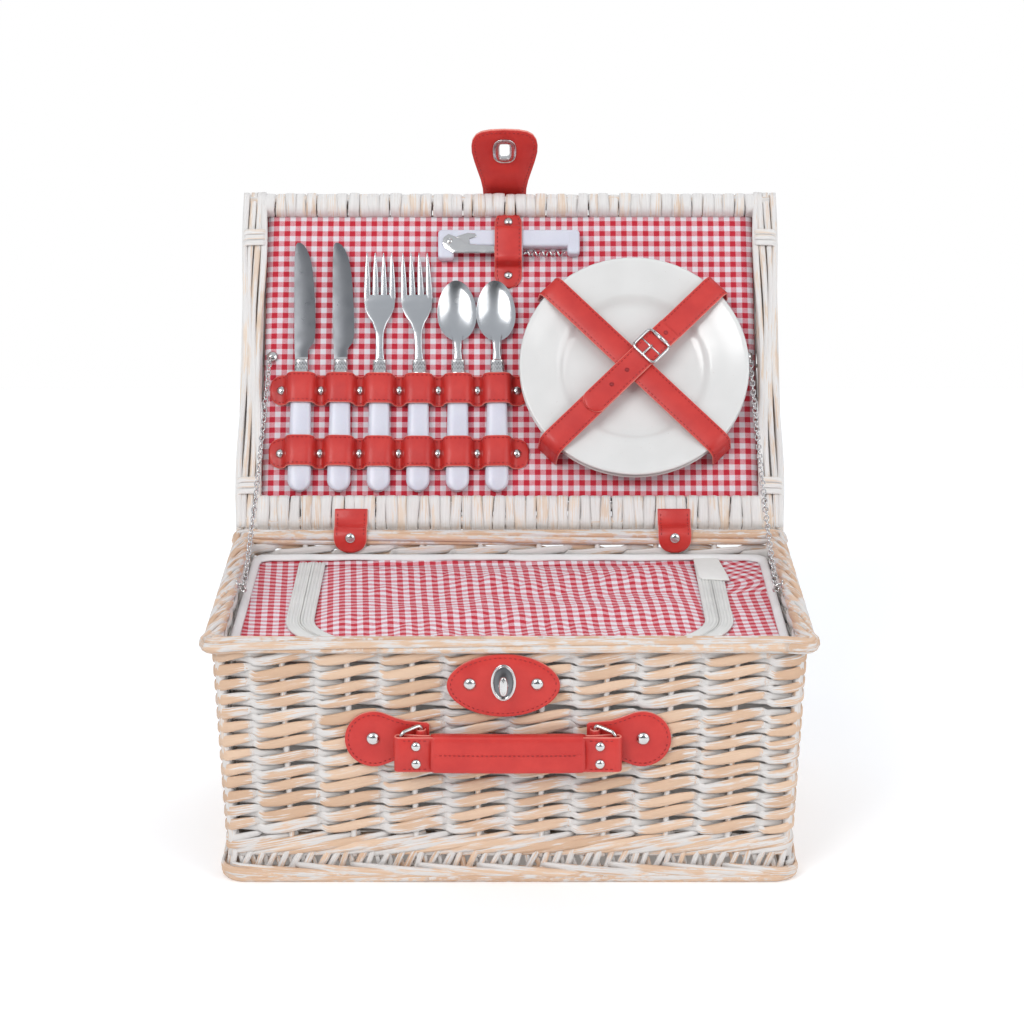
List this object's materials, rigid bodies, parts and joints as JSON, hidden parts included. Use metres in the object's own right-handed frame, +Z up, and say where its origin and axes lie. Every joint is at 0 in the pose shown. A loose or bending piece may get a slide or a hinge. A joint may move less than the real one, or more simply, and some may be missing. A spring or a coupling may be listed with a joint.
{
  "type": "wicker picnic basket",
  "caption": "Rectangular woven willow hamper with a hinged lid on chains, holding plates, cutlery and a corkscrew under leather straps over a zipped gingham cooler.",
  "frame": {"origin": "centre of the foot border's underside, on the surface that the basket stands on", "axes": "+Z up, -Y towards the front with the lock and handle, +X to the right seen from the front"},
  "size_m": [0.4, 0.4338, 0.4472],
  "materials": {
    "willow": "peeled split willow with a worn white wash",
    "pale_willow": "whitewashed willow",
    "red_leather": "red faux leather with pale stitching",
    "chrome": "polished plated steel",
    "cutlery_steel": "polished stainless steel",
    "ivory_plastic": "glossy ivory plastic",
    "glazed_plate": "white glaze",
    "gingham": "red and white gingham cotton",
    "white_webbing": "white woven tape"
  },
  "bodies": {
    "basket": {"front_wall": "willow", "back_wall": "willow", "end_walls": "willow", "corner_posts": "willow", "base_panel": "willow", "rim_border": "pale_willow", "foot_border": "willow", "lock_patch": "red_leather", "lock_plate": "chrome", "handle_anchors": "red_leather", "body_rivets": "chrome", "hinge_straps": "red_leather", "chain_hooks": "chrome", "lid_chains": "chrome", "cooler_shell": "white_webbing", "cooler_top": "gingham", "zip_tape": "white_webbing"},
    "lid": {"lid_weave": "pale_willow", "lid_cross_rails": "pale_willow", "lid_side_rails": "pale_willow", "lid_lining": "gingham", "lid_rivets": "chrome", "cutlery_strap_upper": "red_leather", "cutlery_strap_lower": "red_leather", "opener_strap": "red_leather", "plate_strap_plain": "red_leather", "plate_strap_buckled": "red_leather", "strap_buckle": "chrome", "plate_front": "glazed_plate", "plate_back": "glazed_plate", "opener_handle": "ivory_plastic", "opener_lever": "chrome", "opener_pins": "chrome", "hasp_root": "red_leather"},
    "hasp": {"hasp_flap": "red_leather", "hasp_eyelet": "chrome"},
    "lock_button": {"lock_button": "chrome"},
    "handle": {"handle_strap": "red_leather", "handle_grip": "red_leather", "handle_rivets": "chrome"},
    "ring_left": {"handle_ring_left": "chrome"},
    "ring_right": {"handle_ring_right": "chrome"},
    "cooler_flap": {"cooler_flap": "gingham", "flap_zip_tape": "white_webbing"},
    "zip_slider": {"zip_slider": "chrome"},
    "zip_pull": {"zip_pull": "chrome"},
    "corkscrew_worm": {"opener_worm": "chrome"},
    "knife_left": {"knife_left_handle": "ivory_plastic", "knife_left_blade": "cutlery_steel"},
    "knife_right": {"knife_right_handle": "ivory_plastic", "knife_right_blade": "cutlery_steel"},
    "fork_left": {"fork_left_handle": "ivory_plastic", "fork_left_head": "cutlery_steel"},
    "fork_right": {"fork_right_handle": "ivory_plastic", "fork_right_head": "cutlery_steel"},
    "spoon_left": {"spoon_left_handle": "ivory_plastic", "spoon_left_bowl": "cutlery_steel"},
    "spoon_right": {"spoon_right_handle": "ivory_plastic", "spoon_right_bowl": "cutlery_steel"}
  },
  "joints": [
    {"name": "lid_hinge", "type": "hinge", "parent": "basket", "child": "lid", "pos_m": [0, 0.1325, 0.1723], "axis": [-1, 0, 0], "range_deg": [-122, 0], "deforming": ["lid_chains", "hinge_straps"]},
    {"name": "hasp_bend", "type": "hinge", "parent": "lid", "child": "hasp", "pos_m": [-0.004, 0.29162, 0.38712], "axis": [-1, 0, 0], "range_deg": [-22, 68], "stiffness_Nm_per_rad": 0.03},
    {"name": "lock_turn", "type": "hinge", "parent": "basket", "child": "lock_button", "pos_m": [-0.004, -0.1275, 0.1414], "axis": [0, -1, 0], "range_deg": [0, 90]},
    {"name": "handle_pull", "type": "slide", "parent": "basket", "child": "handle", "axis": [0, -1, 0], "range_m": [0, 0.005]},
    {"name": "ring_left_swing", "type": "hinge", "parent": "basket", "child": "ring_left", "pos_m": [-0.058, -0.131, 0.097], "axis": [0, 0, 1], "range_deg": [0, 26]},
    {"name": "ring_right_swing", "type": "hinge", "parent": "basket", "child": "ring_right", "pos_m": [0.056, -0.131, 0.097], "axis": [0, 0, -1], "range_deg": [0, 26]},
    {"name": "flap_hinge", "type": "hinge", "parent": "basket", "child": "cooler_flap", "pos_m": [0, 0.108, 0.1524], "axis": [-1, 0, 0], "range_deg": [0, 100]},
    {"name": "zip_slide", "type": "slide", "parent": "basket", "child": "zip_slider", "axis": [-1, 0, 0], "range_m": [0, 0.085]},
    {"name": "zip_pull_swing", "type": "hinge", "parent": "zip_slider", "child": "zip_pull", "pos_m": [0, -0.0928, 0.1578], "axis": [0, -1, 0], "range_deg": [0, 160]},
    {"name": "worm_fold", "type": "hinge", "parent": "lid", "child": "corkscrew_worm", "pos_m": [0.005, 0.25094, 0.35241], "axis": [0, 0.848, -0.5299], "range_deg": [0, 15]},
    {"name": "knife_left_slide", "type": "slide", "parent": "lid", "child": "knife_left", "axis": [0, 0.5299, 0.848], "range_m": [0, 0.022]},
    {"name": "knife_right_slide", "type": "slide", "parent": "lid", "child": "knife_right", "axis": [0, 0.5299, 0.848], "range_m": [0, 0.022]},
    {"name": "fork_left_slide", "type": "slide", "parent": "lid", "child": "fork_left", "axis": [0, 0.5299, 0.848], "range_m": [0, 0.028]},
    {"name": "fork_right_slide", "type": "slide", "parent": "lid", "child": "fork_right", "axis": [0, 0.5299, 0.848], "range_m": [0, 0.028]},
    {"name": "spoon_left_slide", "type": "slide", "parent": "lid", "child": "spoon_left", "axis": [0, 0.5299, 0.848], "range_m": [0, 0.011]},
    {"name": "spoon_right_slide", "type": "slide", "parent": "lid", "child": "spoon_right", "axis": [0, 0.5299, 0.848], "range_m": [0, 0.011]}
  ],
  "couplings": [
    {"joint": "ring_left_swing", "follows": "handle_pull", "rad_per_m": 89.36},
    {"joint": "ring_right_swing", "follows": "handle_pull", "rad_per_m": 89.36}
  ]
}
